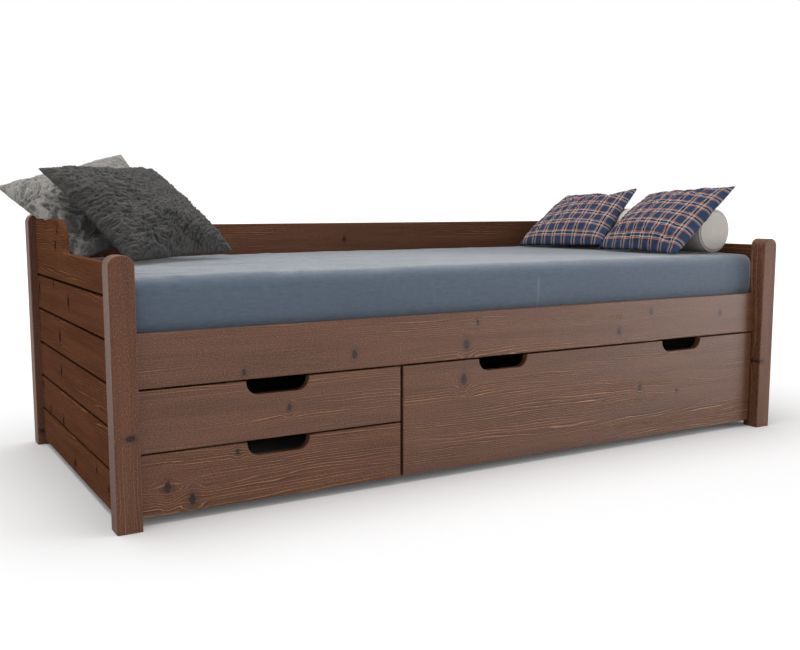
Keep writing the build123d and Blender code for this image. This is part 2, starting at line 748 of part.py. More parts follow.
def all_pieces():
    """Every piece of the bed by name."""
    pieces = {}
    rail_z = (rail_bottom, rail_top)
    board_z = (back_board_bottom, back_board_top)
    front_boards = ((front_rail_y, rail_z),)
    back_boards = ((back_rail_y, rail_z), (back_rail_y, board_z))
    front_post = left_post(front_post_height, (front_y, front_inner_y), front_boards, low_end_top)
    back_post = left_post(back_post_height, (back_inner_y, back_y), back_boards, high_end_top)
    pieces["left_front_post"] = front_post
    pieces["left_back_post"] = back_post
    pieces["right_front_post"] = at_right(front_post)
    pieces["right_back_post"] = at_right(back_post)
    for i in range(lower_board_count):
        bottom = end_board_bottom + i * end_board_pitch
        board = end_board((bottom, bottom + end_board_height))
        pieces["left_end_board_%d" % (i + 1)] = with_runner_screws(board)
        pieces["right_end_board_%d" % (i + 1)] = at_right(board)
    pieces["left_end_top_board"] = end_top_board()
    pieces["right_end_top_board"] = at_right(end_top_board())
    pieces["front_rail"] = rail_with_screws(cross_board(front_rail_y, rail_z))
    pieces["back_rail"] = rail_with_screws(cross_board(back_rail_y, rail_z))
    pieces["back_board"] = cross_board(back_rail_y, board_z)
    pins = post_pins(front_inner_y, 1, rail_z) + post_pins(back_inner_y, -1, rail_z)
    pins += post_pins(back_inner_y, -1, board_z)
    pieces["joint_pins"] = pins + [at_right(pin) for pin in pins]
    pieces["front_ledger"] = ledger(front_ledger_y)
    pieces["back_ledger"] = ledger(back_ledger_y)
    pieces["bed_slats"] = slats()
    pieces["slat_screws"] = [screw(slat_screw, *seat) for seat in slat_screw_seats()]
    pieces["divider_panel"] = divider()
    pieces["drawer_runners"] = runners()
    frame_seats = ledger_screw_seats() + divider_screw_seats()
    frame_seats += [seat[:2] for seat in runner_screw_seats()]
    pieces["frame_screws"] = [screw(frame_screw, *seat) for seat in frame_seats]
    for name, box in (("lower_drawer", small_drawer(0)), ("upper_drawer", small_drawer(1)),
                      ("wide_drawer", wide_drawer())):
        for piece_name, piece in box.items():
            pieces[name + "_" + piece_name] = piece
    places = wheel_places()
    for name, (x, y) in places.items():
        pieces["wheel_" + name] = wheel(x, y)
    pieces["wheel_brackets"] = [wheel_bracket(x, y) for x, y in places.values()]
    pieces["wheel_axles"] = [wheel_axle(x, y) for x, y in places.values()]
    pieces["wheel_bracket_screws"] = [screw(bracket_screw, *seat) for seat in bracket_screw_seats()]
    under, wall, post, back = pillow_cutters()
    pieces["mattress"] = mattress()
    pieces["bolster"] = bolster()
    pieces["charcoal_pillow"] = lying(pillow(charcoal_pillow, board_inner_x), under)
    pieces["light_pillow"] = lying(pillow(light_pillow, board_inner_x), under, wall, post, back,
                                   pillow(charcoal_pillow, board_inner_x, soft_gap))
    pieces["back_plaid_pillow"] = lying(pillow(back_plaid_pillow, right_wall_x), under, bolster(soft_gap))
    pieces["front_plaid_pillow"] = lying(pillow(front_plaid_pillow, right_wall_x), under, bolster(soft_gap),
                                         pillow(back_plaid_pillow, right_wall_x, soft_gap))
    return pieces


os.makedirs("parts", exist_ok=True)
for node, shape in all_pieces().items():
    if isinstance(shape, list):
        shape = Compound([s for item in shape for s in item.solids()])
    export_step(shape, "parts/" + node + ".step")
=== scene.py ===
import math
import random

import bmesh
import bpy
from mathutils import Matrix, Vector, noise
from mathutils.bvhtree import BVHTree


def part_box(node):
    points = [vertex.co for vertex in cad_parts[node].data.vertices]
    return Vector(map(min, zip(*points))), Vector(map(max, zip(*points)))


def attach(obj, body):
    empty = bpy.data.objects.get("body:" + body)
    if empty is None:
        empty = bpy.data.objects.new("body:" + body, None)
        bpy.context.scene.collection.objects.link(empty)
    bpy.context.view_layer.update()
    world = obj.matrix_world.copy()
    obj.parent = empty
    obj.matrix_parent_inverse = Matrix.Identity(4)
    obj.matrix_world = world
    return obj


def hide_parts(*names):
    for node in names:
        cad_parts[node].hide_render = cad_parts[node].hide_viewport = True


bl_info = {
    "name": "Storage bed finish",
    "version": (1, 0, 0),
    "blender": (4, 5, 0),
    "location": "View3D > Sidebar > Bed",
    "description": "Dresses a storage bed in stained pine, bedding and pillows",
    "category": "Object",
}

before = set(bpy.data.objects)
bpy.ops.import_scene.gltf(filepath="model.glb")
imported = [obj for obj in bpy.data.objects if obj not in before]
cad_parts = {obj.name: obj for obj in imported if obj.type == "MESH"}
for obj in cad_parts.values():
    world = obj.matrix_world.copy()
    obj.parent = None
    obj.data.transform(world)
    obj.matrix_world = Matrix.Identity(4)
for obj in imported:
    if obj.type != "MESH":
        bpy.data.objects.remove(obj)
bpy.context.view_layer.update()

# Places read from the frame, in metres
MATTRESS_LOW, MATTRESS_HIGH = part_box("mattress")
BOLSTER_LOW, BOLSTER_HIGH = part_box("bolster")
LEFT_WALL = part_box("left_end_board_5")[1].x
RIGHT_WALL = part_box("right_end_board_5")[0].x
BACK_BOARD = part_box("back_board")[0].y
RAIL_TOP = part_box("front_rail")[1].z
CLEARANCE = 0.0006

# Seam corners of the pillows, lower left, lower right, upper right and upper left from their front:
# the distance from the nearer end wall, from the back board and above the mattress
CHARCOAL_SEAM = ((0.125, 0.481, 0.007), (0.493, 0.289, 0.018), (0.333, -0.003, 0.267), (-0.035, 0.189, 0.256))
LIGHT_SEAM = ((0.032, 0.322, 0.006), (0.382, 0.138, 0.102), (0.252, -0.048, 0.314), (-0.125, 0.043, 0.208))
BACK_TARTAN_SEAM = ((0.311, 0.059, 0.005), (0.277, 0.478, 0.018), (0.067, 0.442, 0.215), (0.067, 0.046, 0.194))
FRONT_TARTAN_SEAM = ((0.297, 0.494, 0.011), (0.311, 0.863, 0.005), (0.054, 0.863, 0.216), (0.054, 0.490, 0.195))

# Grain, across and depth axes of a board, by the direction of its grain
BOARD_AXES = {"along": "XZY", "across": "YZX", "upright": "ZXY", "flat": "YXZ", "panel": "XYZ"}

# Knots of the boards that show: place along the grain, place across it and radius, in metres
KNOTS = {
    "front_rail": ((-0.707, 0.332, 0.006), (-0.415, 0.352, 0.008), (-0.0785, 0.351, 0.009),
                   (-0.042, 0.410, 0.005), (0.465, 0.351, 0.008), (0.591, 0.404, 0.007), (0.891, 0.382, 0.007)),
    "wide_drawer_front": ((-0.086, 0.258, 0.010), (0.555, 0.176, 0.007), (0.711, 0.149, 0.005)),
    "upper_drawer_front": ((-0.593, 0.236, 0.006),),
    "lower_drawer_front": ((-0.896, 0.083, 0.009), (-0.839, 0.047, 0.009), (-0.727, 0.144, 0.005)),
    "left_front_post": ((0.214, -0.985, 0.007),),
    "right_front_post": ((0.218, 1.055, 0.007),),
    "left_end_board_5": ((0.019, 0.471, 0.009), (0.207, 0.504, 0.006), (0.419, 0.477, 0.009)),
    "left_end_board_4": ((0.149, 0.363, 0.009),),
    "left_end_board_3": ((0.150, 0.268, 0.008),),
}


def colour(red, green, blue):
    """A scene colour from display values of 0 to 255."""
    return tuple(((c / 255 + 0.055) / 1.055) ** 2.4 if c > 10 else c / 255 / 12.92 for c in (red, green, blue))


def shade(name, default, description):
    """A colour that the user may change."""
    return bpy.props.FloatVectorProperty(
        name=name, description=description, default=default, size=3, min=0, max=1, subtype="COLOR")


def length(name, default, description):
    """A length that the user may change, in metres."""
    return bpy.props.FloatProperty(name=name, description=description, default=default, min=0, unit="LENGTH",
                                   precision=4)


def share(name, default, description):
    """A number from 0 to 1 that the user may change."""
    return bpy.props.FloatProperty(name=name, description=description, default=default, min=0, max=1,
                                   subtype="FACTOR")


class WoodSettings(bpy.types.PropertyGroup):
    """Colours and grain of the wood."""
    stain: shade("Stain", colour(101, 64, 46), "Main colour of the stained pine")
    dark_stain: shade("Dark stain", colour(76, 47, 34), "Darker bands of the stained pine")
    grain_line: shade("Grain line", colour(166, 116, 76), "Late wood lines that took less stain")
    knot: shade("Knot", colour(24, 17, 18), "Knots in the stained pine")
    # Inner wood is a dark grey-brown, darker than raw pine: painted shade for the unlit insides of the drawers
    inner_wood: shade("Inner wood", colour(84, 72, 62), "Drawer boxes, slats and ledgers")
    ring_width: length("Ring width", 0.0060, "Width of one year's growth")
    gloss: share("Roughness", 0.42, "Roughness of the satin varnish")


class FittingSettings(bpy.types.PropertyGroup):
    """Colours of the screws, brackets and wheels."""
    steel: shade("Steel", colour(176, 178, 180), "Zinc plated screws, brackets and axles")
    wheel: shade("Wheel", colour(46, 47, 49), "Nylon wheels")


class MattressSettings(bpy.types.PropertyGroup):
    """The blue mattress cover."""
    cover: shade("Cover", colour(77, 90, 105), "Main colour of the jersey cover")
    edge_round: length("Edge rounding", 0.036, "Radius of the long edges")
    wrinkle: length("Wrinkle height", 0.0050, "Height of the wrinkles on top")
    joint_x: bpy.props.FloatProperty(name="Cover joint", default=0.173, unit="LENGTH",
                                     description="Where the two halves of the cover overlap")


class BolsterSettings(bpy.types.PropertyGroup):
    """The round bolster."""
    canvas: shade("Canvas", colour(196, 190, 182), "Colour of the canvas")
    piping: length("Piping", 0.0022, "Radius of the piping at the ends")


class CrinkledSettings(bpy.types.PropertyGroup):
    """The two crinkled pillows at the left end."""
    charcoal: shade("Charcoal", colour(46, 44, 42), "Front pillow")
    light: shade("Light grey", colour(136, 133, 129), "Pillow behind it")
    crease: length("Crease height", 0.0072, "Height of the creases")


class TartanSettings(bpy.types.PropertyGroup):
    """The two checked pillows at the right end."""
    ground: shade("Ground", colour(47, 65, 93), "Ground of the check")
    bright: shade("Bright line", colour(242, 142, 84), "Thin bright lines")
    pale: shade("Pale line", colour(208, 208, 198), "Thin pale lines")
    dark: shade("Dark line", colour(10, 16, 30), "Dark band between the pale lines")
    repeat: length("Repeat", 0.0541, "Size of one square of the check")


class StageSettings(bpy.types.PropertyGroup):
    """Floor, light and camera."""
    floor: shade("Floor", (0.86, 0.86, 0.86), "Colour of the floor")
    dome: share("Dome", 0.63, "Light from all round")
    key: bpy.props.FloatProperty(name="Key light", default=125, unit="POWER", description="Large light above")
    side: bpy.props.FloatProperty(name="Side light", default=165, unit="POWER",
                                  description="Large light that shows in the satin of the front")
    lens: bpy.props.FloatProperty(name="Lens", default=43.33, description="Focal length in millimetres")


def node(tree, kind, inputs=(), **settings):
    """Adds a shader node with its settings, and its input values or links by name or number."""
    made = tree.nodes.new("ShaderNode" + kind)
    for name, value in settings.items():
        setattr(made, name, value)
    for key, value in dict(inputs).items():
        if isinstance(value, bpy.types.NodeSocket):
            tree.links.new(value, made.inputs[key])
        else:
            made.inputs[key].default_value = value
    return made


def maths(tree, operation, first, second=0.5, third=0.5, clamp=False):
    """The result of one sum on numbers or sockets."""
    return node(tree, "Math", {0: first, 1: second, 2: third}, operation=operation, use_clamp=clamp).outputs[0]


def span(tree, value, low, high, smooth=True):
    """How far a value is from low to high, from 0 to 1."""
    kind = "SMOOTHSTEP" if smooth else "LINEAR"
    made = node(tree, "MapRange", {0: value, 1: low, 2: high, 3: 0.0, 4: 1.0}, interpolation_type=kind)
    return made.outputs[0]


def blend(tree, factor, first, second, kind="MIX"):
    """A colour between two colours."""
    made = tree.nodes.new("ShaderNodeMix")
    made.data_type = "RGBA"
    made.blend_type = kind
    made.clamp_result = kind != "MIX"
    for socket, value in ((made.inputs[0], factor), (made.inputs[6], first), (made.inputs[7], second)):
        if isinstance(value, bpy.types.NodeSocket):
            tree.links.new(value, socket)
        else:
            socket.default_value = (*value, 1) if isinstance(value, (tuple, list)) else value
    return made.outputs[2]


def stretched(tree, place, scale):
    """A place multiplied along each axis."""
    return node(tree, "VectorMath", {0: place, 1: scale}, operation="MULTIPLY").outputs[0]


def cloud(tree, place, scale, detail=2.0, roughness=0.5):
    """Noise from 0 to 1 at a place, with its own scale on each axis."""
    return node(tree, "TexNoise", {"Vector": stretched(tree, place, scale), "Scale": 1.0, "Detail": detail,
                                   "Roughness": roughness}).outputs[0]


def swizzled(tree, place, axes):
    """A place with its axes in another order."""
    parts = node(tree, "SeparateXYZ", {0: place}).outputs
    picked = {i: parts["XYZ".index(axis)] for i, axis in enumerate(axes)}
    return node(tree, "CombineXYZ", picked).outputs[0]


def surface(name, colour_socket, tree, roughness, height=None, depth=0.0005, **constants):
    """Joins a colour, a roughness and a height to the material's own shader."""
    shader = tree.nodes["Principled BSDF"]
    tree.links.new(colour_socket, shader.inputs["Base Color"])
    if isinstance(roughness, bpy.types.NodeSocket):
        tree.links.new(roughness, shader.inputs["Roughness"])
    else:
        shader.inputs["Roughness"].default_value = roughness
    if height is not None:
        bump = node(tree, "Bump", {"Height": height, "Distance": depth, "Strength": 1.0})
        tree.links.new(bump.outputs[0], shader.inputs["Normal"])
    for key, value in constants.items():
        shader.inputs[key.replace("_", " ").title().replace("Ior", "IOR")].default_value = value
    return bpy.data.materials[name]


def new_material(name):
    """A material with nodes, and its node tree."""
    made = bpy.data.materials.new(name)
    made.use_nodes = True
    return made, made.node_tree


def new_group(name, inputs, outputs):
    """A node group with its sockets, and the nodes at its two ends."""
    group = bpy.data.node_groups.new(name, "ShaderNodeTree")
    for direction, sockets in (("INPUT", inputs), ("OUTPUT", outputs)):
        for socket_name, kind in sockets:
            group.interface.new_socket(socket_name, in_out=direction, socket_type="NodeSocket" + kind)
    return group, group.nodes.new("NodeGroupInput"), group.nodes.new("NodeGroupOutput")


def knot_group():
    """A knot: how dark a place is, and how far the grain moves aside there."""
    group, start, end = new_group(
        "Knot", (("Place", "Vector"), ("Centre", "Vector"), ("Radius", "Float")),
        (("Dark", "Float"), ("Shift", "Float")))
    offset = node(group, "VectorMath", {0: start.outputs[0], 1: start.outputs[1]}, operation="SUBTRACT")
    flat = stretched(group, offset.outputs[0], (1.0, 0.62, 0.0))
    ragged = cloud(group, start.outputs[0], (160, 160, 160))
    far = node(group, "VectorMath", {0: flat}, operation="LENGTH").outputs["Value"]
    reach = maths(group, "DIVIDE", far, start.outputs[2])
    reach = maths(group, "ADD", reach, maths(group, "MULTIPLY_ADD", ragged, 0.8, -0.4))
    core = span(group, reach, 1.15, 0.7)
    halo = maths(group, "MULTIPLY", span(group, reach, 2.6, 0.8), 0.3)
    ring = maths(group, "MULTIPLY", span(group, maths(group, "PINGPONG", reach, 0.3), 0.1, 0.3), 0.1)
    dark = maths(group, "SUBTRACT", maths(group, "MAXIMUM", core, halo), maths(group, "MULTIPLY", ring, core))
    aside = node(group, "SeparateXYZ", {0: offset.outputs[0]}).outputs[1]
    pull = maths(group, "MULTIPLY", span(group, reach, 4.5, 0.5), -0.55)
    group.links.new(dark, end.inputs[0])
    group.links.new(maths(group, "MULTIPLY", aside, pull), end.inputs[1])
    return group


def pine_group():
    """Brushed pine: the grain runs along the first axis of Place."""
    group, start, end = new_group(
        "Brushed pine", (("Place", "Vector"), ("Shift", "Float"), ("Ring width", "Float")),
        (("Line", "Float"), ("Groove", "Float"), ("Band", "Float"), ("Fibre", "Float"), ("Patch", "Float")))
    place = start.outputs[0]
    x, y, z = node(group, "SeparateXYZ", {0: place}).outputs
    wander = maths(group, "MULTIPLY_ADD", cloud(group, place, (1.3, 7, 7), 3), 0.05, -0.025)
    tremble = maths(group, "MULTIPLY_ADD", cloud(group, place, (16, 60, 60), 2), 0.003, -0.0015)
    aside = maths(group, "ADD", maths(group, "ADD", y, start.outputs[1]), maths(group, "ADD", wander, tremble))
    along = node(group, "CombineXYZ", {0: x}).outputs[0]
    heart = maths(group, "MULTIPLY_ADD", cloud(group, along, (0.8, 1, 1), 1), 0.09, 0.01)
    depth = maths(group, "ADD", heart, z)
    squares = maths(group, "ADD", maths(group, "MULTIPLY", aside, aside), maths(group, "MULTIPLY", depth, depth))
    rings = maths(group, "DIVIDE", maths(group, "SQRT", squares), start.outputs[2])
    uneven = maths(group, "MULTIPLY", cloud(group, place, (0.7, 26, 26), 2), 5.0)
    year = maths(group, "FRACT", maths(group, "ADD", rings, uneven))
    line = maths(group, "MULTIPLY", span(group, year, 0.66, 0.8), span(group, year, 0.97, 0.88))
    groove = maths(group, "MULTIPLY", span(group, year, 0.38, 0.58), span(group, year, 0.74, 0.64))
    strong = span(group, cloud(group, place, (1.0, 16, 16), 2), 0.48, 0.64)
    strong = maths(group, "MULTIPLY_ADD", strong, 0.9, 0.1)
    broken = span(group, cloud(group, place, (20, 150, 150), 2), 0.3, 0.6)
    strong = maths(group, "MULTIPLY", strong, maths(group, "MULTIPLY_ADD", broken, 0.75, 0.25))
    group.links.new(maths(group, "MULTIPLY", line, strong), end.inputs[0])
    group.links.new(maths(group, "MULTIPLY", groove, strong), end.inputs[1])
    group.links.new(span(group, cloud(group, place, (2.4, 34, 34), 4, 0.65), 0.34, 0.68), end.inputs[2])
    group.links.new(cloud(group, place, (210, 400, 400), 2, 0.6), end.inputs[3])
    group.links.new(span(group, cloud(group, place, (3.2, 13, 13), 2), 0.55, 0.8), end.inputs[4])
    return group


def board_place(tree, grain):
    """The place on a board with the grain along the first axis, in metres."""
    place = node(tree, "TexCoord").outputs["Object"]
    return swizzled(tree, place, BOARD_AXES[grain])


def board_pattern(tree, name, grain, knots, seed, groups, ring_width):
    """The grain pattern of one board, and how dark its knots are at each place."""
    place = board_place(tree, grain)
    dark, shift = 0.0, 0.0
    for along, across, radius in knots:
        knot = node(tree, "Group", node_tree=groups["knot"])
        tree.links.new(place, knot.inputs[0])
        knot.inputs[1].default_value = (along, across, 0)
        knot.inputs[2].default_value = radius
        dark = maths(tree, "MAXIMUM", knot.outputs[0], dark)
        shift = maths(tree, "ADD", knot.outputs[1], shift)
    low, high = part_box(name)
    middle = (low + high) / 2
    order = ["XYZ".index(axis) for axis in BOARD_AXES[grain]]
    aside = seed.choice((-1, 1)) * ((high - low)[order[1]] / 2 + seed.uniform(0.02, 0.06))
    start = (seed.uniform(0, 40), middle[order[1]] + aside, middle[order[2]])
    moved = node(tree, "VectorMath", {0: place, 1: start}, operation="SUBTRACT").outputs[0]
    pine = node(tree, "Group", node_tree=groups["pine"])
    for key, value in ((0, moved), (1, shift), (2, ring_width)):
        if isinstance(value, bpy.types.NodeSocket):
            tree.links.new(value, pine.inputs[key])
        else:
            pine.inputs[key].default_value = value
    return pine.outputs, dark


def random_knots(name, grain, seed):
    """A few small knots for a board that has none of its own in the list."""
    low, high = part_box(name)
    axes = ["XYZ".index(axis) for axis in BOARD_AXES[grain]]
    along, across = axes[0], axes[1]
    count = 1 + int((high[along] - low[along]) * 2.2)
    return [(seed.uniform(low[along], high[along]), seed.uniform(low[across], high[across]),
             seed.uniform(0.004, 0.009)) for _ in range(min(count, 5))]


def stained_pine(name, grain, groups):
    """Walnut stained, brushed and varnished pine for one board."""
    wood = bpy.context.scene.bed_wood
    seed = random.Random(name)
    made, tree = new_material("stained_pine_" + name)
    knots = KNOTS.get(name) or random_knots(name, grain, seed)
    pattern, dark = board_pattern(tree, name, grain, knots, seed, groups, wood.ring_width)
    line, groove, band, fibre, patch = pattern
    stain, deep, pale = tuple(wood.stain), tuple(wood.dark_stain), tuple(wood.grain_line)
    tone = blend(tree, maths(tree, "MULTIPLY", band, 0.62), stain, deep)
    tone = blend(tree, maths(tree, "MULTIPLY", patch, 0.2), tone, colour(84, 66, 62))
    pores = maths(tree, "MULTIPLY", span(tree, fibre, 0.5, 0.34), 0.62)
    tone = blend(tree, pores, tone, tuple(c * 0.55 for c in deep))
    glints = maths(tree, "MULTIPLY", span(tree, fibre, 0.54, 0.72), 0.36)
    tone = blend(tree, glints, tone, pale)
    clear = {"across": 0.5, "upright": 0.5, "along": 0.95}[grain]
    tone = blend(tree, maths(tree, "MULTIPLY", groove, clear * 0.85), tone, tuple(c * 0.5 for c in deep))
    tone = blend(tree, maths(tree, "MULTIPLY", line, clear), tone, pale)
    tone = blend(tree, maths(tree, "MULTIPLY", dark, 0.93), tone, tuple(wood.knot))
    height = maths(tree, "SUBTRACT", maths(tree, "MULTIPLY_ADD", fibre, 0.7, line), groove)
    worn = 0.12 if grain == "upright" else 0.0
    rough = maths(tree, "ADD", maths(tree, "MULTIPLY_ADD", fibre, 0.16, wood.gloss - 0.08 + worn),
                  maths(tree, "MULTIPLY", line, -0.06))
    along = {"back_board": 0.12, "lower_drawer_front": 0.3}.get(name, 0.4)
    gloss = {"across": 0.0, "upright": 0.26, "along": along}[grain]
    return surface(made.name, tone, tree, rough, height, 0.0006, specular_ior_level=gloss)


def plain_wood(name, grain, groups, tint):
    """Unvarnished inner wood with a fine grain."""
    seed = random.Random(name)
    made, tree = new_material(name)
    pattern, dark = board_pattern(tree, "bed_slats", grain, (), seed, groups, 0.007)
    line, groove, band, fibre, patch = pattern
    deep = tuple(c * 0.72 for c in tint)
    tone = blend(tree, band, deep, tuple(tint))
    tone = blend(tree, maths(tree, "MULTIPLY", line, 0.5), tone, tuple(c * 0.55 for c in tint))
    tone = blend(tree, maths(tree, "MULTIPLY", patch, 0.2), tone, tuple(min(1, c * 1.3) for c in tint))
    height = maths(tree, "ADD", line, fibre)
    rough = maths(tree, "MULTIPLY_ADD", fibre, 0.2, 0.55)
    return surface(made.name, tone, tree, rough, height, 0.0004)


def give(name, made):
    """Puts a material in every slot of a frame node."""
    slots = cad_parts[name].material_slots
    if not slots:
        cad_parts[name].data.materials.append(made)
    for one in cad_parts[name].material_slots:
        one.link = "OBJECT"
        one.material = made


class BED_OT_stained_wood(bpy.types.Operator):
    """Finishes posts, boards, rails and drawer fronts in stained pine"""
    bl_idname = "bed.stained_wood"
    bl_label = "Stained Wood"

    def execute(self, context):
        groups = {"knot": knot_group(), "pine": pine_group()}
        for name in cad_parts:
            if name.endswith("_post"):
                give(name, stained_pine(name, "upright", groups))
            elif "_end_" in name:
                give(name, stained_pine(name, "across", groups))
            elif name.endswith("_rail") or name.endswith("_front") or name == "back_board":
                give(name, stained_pine(name, "along", groups))
        return {"FINISHED"}


class BED_OT_inner_wood(bpy.types.Operator):
    """Finishes drawer boxes, slats, ledgers, divider and runners"""
    bl_idname = "bed.inner_wood"
    bl_label = "Inner Wood"

    def execute(self, context):
        wood = context.scene.bed_wood
        groups = {"pine": pine_group()}
        # The dark inner wood tint is painted shade for the unlit drawer insides
        tint = tuple(wood.inner_wood)
        pale = tuple(min(1, c * 1.25) for c in tint)
        made = {grain: plain_wood("inner_wood_" + grain, grain, groups, tint) for grain in BOARD_AXES}
        sheet = plain_wood("plywood", "panel", groups, pale)
        grains = {"_ledger": "along", "bed_slats": "flat", "divider_panel": "across", "drawer_runners": "across",
                  "joint_pins": "flat", "_side": "across", "_drawer_back": "along", "_battens": "panel"}
        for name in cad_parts:
            for ending, grain in grains.items():
                if name.endswith(ending):
                    give(name, made[grain])
            if name.endswith("_bottom"):
                give(name, sheet)
        return {"FINISHED"}


def brushed_steel(tint):
    """Zinc plated steel with a cloudy, lightly scratched face."""
    made, tree = new_material("plated_steel")
    place = node(tree, "TexCoord").outputs["Object"]
    clouds = cloud(tree, place, (90, 90, 90), 3)
    scratches = cloud(tree, place, (1800, 120, 120), 2)
    tone = blend(tree, clouds, tuple(c * 0.8 for c in tint), tuple(tint))
    rough = maths(tree, "MULTIPLY_ADD", scratches, 0.25, 0.22)
    return surface(made.name, tone, tree, rough, scratches, 0.0001, metallic=1.0)


def moulded_nylon(tint):
    """Dull nylon with a fine moulded grain and scuffs."""
    made, tree = new_material("moulded_nylon")
    place = node(tree, "TexCoord").outputs["Object"]
    grain = cloud(tree, place, (900, 900, 900), 2)
    scuffs = span(tree, cloud(tree, place, (60, 260, 260), 3), 0.55, 0.75)
    tone = blend(tree, maths(tree, "MULTIPLY", scuffs, 0.4), tuple(tint), tuple(c * 2.2 for c in tint))
    rough = maths(tree, "MULTIPLY_ADD", scuffs, 0.2, 0.45)
    return surface(made.name, tone, tree, rough, grain, 0.0001)


class BED_OT_fittings(bpy.types.Operator):
    """Finishes screws, brackets, axles and wheels"""
    bl_idname = "bed.fittings"
    bl_label = "Screws and Wheels"

    def execute(self, context):
        colours = context.scene.bed_fittings
        steel = brushed_steel(tuple(colours.steel))
        nylon = moulded_nylon(tuple(colours.wheel))
        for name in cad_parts:
            if name.endswith("screws") or name in ("wheel_brackets", "wheel_axles"):
                give(name, steel)
            elif name.startswith("wheel_"):
                give(name, nylon)
        return {"FINISHED"}


def woven(tree, place, thread):
    """The height of a plain weave with slubs, at a place in metres."""
    x, y, z = node(tree, "SeparateXYZ", {0: place}).outputs
    turn = 2 * math.pi / thread
    warp = maths(tree, "SINE", maths(tree, "MULTIPLY", x, turn))
    weft = maths(tree, "SINE", maths(tree, "MULTIPLY", y, turn))
    cell = maths(tree, "MULTIPLY", warp, weft)
    slub = cloud(tree, place, (0.25 / thread, 0.05 / thread, 1), 2)
    return maths(tree, "ADD", maths(tree, "MULTIPLY_ADD", cell, 0.25, 0.5), slub)


def cloth_place(tree):
    """The place on the flat cloth, in metres, from the cloth's own map."""
    return node(tree, "UVMap", uv_map="Cloth").outputs[0]


def jersey(tint):
    """Slate blue jersey with speckles and faint lengthwise stripes."""
    made, tree = new_material("blue_jersey")
    place = cloth_place(tree)
    weave = woven(tree, place, 0.0016)
    stripes = cloud(tree, place, (40, 160, 1), 2)
    ribs = cloud(tree, place, (60, 40, 1), 2)
    specks = span(tree, cloud(tree, place, (420, 420, 1), 1), 0.66, 0.74)
    patches = cloud(tree, place, (3, 5, 1), 2)
    tone = blend(tree, span(tree, stripes, 0.3, 0.7), tuple(c * 0.9 for c in tint), tuple(c * 1.08 for c in tint))
    tone = blend(tree, maths(tree, "MULTIPLY", span(tree, ribs, 0.35, 0.7), 0.25), tone,
                 tuple(c * 1.2 for c in tint))
    tone = blend(tree, maths(tree, "MULTIPLY", span(tree, patches, 0.3, 0.75), 0.25), tone,
                 tuple(c * 0.78 for c in tint))
    tone = blend(tree, maths(tree, "MULTIPLY", specks, 0.35), tone, tuple(c * 0.5 for c in tint))
    height = maths(tree, "ADD", maths(tree, "MULTIPLY", weave, 0.5), stripes)
    rough = maths(tree, "MULTIPLY_ADD", weave, 0.08, 0.78)
    return surface(made.name, tone, tree, rough, height, 0.0006, sheen_weight=0.8, sheen_roughness=0.4)


def canvas(tint):
    """Off-white canvas with slubs and flecks."""
    made, tree = new_material("bolster_canvas")
    place = cloth_place(tree)
    weave = woven(tree, place, 0.0014)
    flecks = span(tree, cloud(tree, place, (260, 340, 1), 2), 0.62, 0.75)
    soft = cloud(tree, place, (9, 9, 1), 2)
    tone = blend(tree, soft, tuple(c * 0.88 for c in tint), tuple(tint))
    tone = blend(tree, maths(tree, "MULTIPLY", flecks, 0.3), tone, tuple(c * 0.6 for c in tint))
    rough = maths(tree, "MULTIPLY_ADD", weave, 0.08, 0.8)
    return surface(made.name, tone, tree, rough, weave, 0.0006, sheen_weight=0.15, sheen_roughness=0.5)


def crushed(name, tint):
    """Crushed cloth, paler on its crests, partly wear and partly painted highlight, and darker between them with
    painted shade.
    """
    made, tree = new_material(name)
    place = cloth_place(tree)
    weave = woven(tree, place, 0.0015)
    crease = node(tree, "Attribute", attribute_name="crease").outputs["Fac"]
    nap = cloud(tree, place, (90, 210, 1), 3, 0.6)
    fine = cloud(tree, place, (420, 420, 1), 2)
    # Painted shade and highlight: the crease height darkens the hollows and pales the crests, the crests partly
    # wear too
    tone = blend(tree, span(tree, crease, 0.18, 0.68), tuple(c * 0.36 for c in tint), tuple(c * 1.4 for c in tint))
    tone = blend(tree, maths(tree, "MULTIPLY", span(tree, nap, 0.5, 0.75), 0.45), tone,
                 tuple(min(1, c * 1.5) for c in tint))
    tone = blend(tree, maths(tree, "MULTIPLY", span(tree, fine, 0.55, 0.35), 0.4), tone,
                 tuple(c * 0.5 for c in tint))
    height = maths(tree, "ADD", maths(tree, "MULTIPLY", weave, 0.5), nap)
    rough = maths(tree, "MULTIPLY_ADD", nap, 0.2, 0.72)
    return surface(made.name, tone, tree, rough, height, 0.0017, sheen_weight=0.15, sheen_roughness=0.45)


def stripe_colours(tree, along, repeat, colours, band):
    """The colour of the threads that run one way, at a distance across them."""
    part = maths(tree, "FRACT", maths(tree, "DIVIDE", along, repeat))
    ramp = node(tree, "ValToRGB", {0: part})
    stops = ramp.color_ramp
    ground, bright, pale, dark = colours
    middle = dark if band else tuple((a + b) / 2 for a, b in zip(dark, ground))
    order = ((0.0, ground), (0.53, bright), (0.575, ground), (0.615, pale), (0.665, middle),
             (0.82, pale), (0.87, ground), (0.91, bright), (0.955, ground))
    stops.interpolation = "CONSTANT"
    while len(stops.elements) < len(order):
        stops.elements.new(0.5)
    for element, (position, tint) in zip(stops.elements, order):
        element.position = position
        element.color = (*tint, 1)
    return ramp.outputs[0]


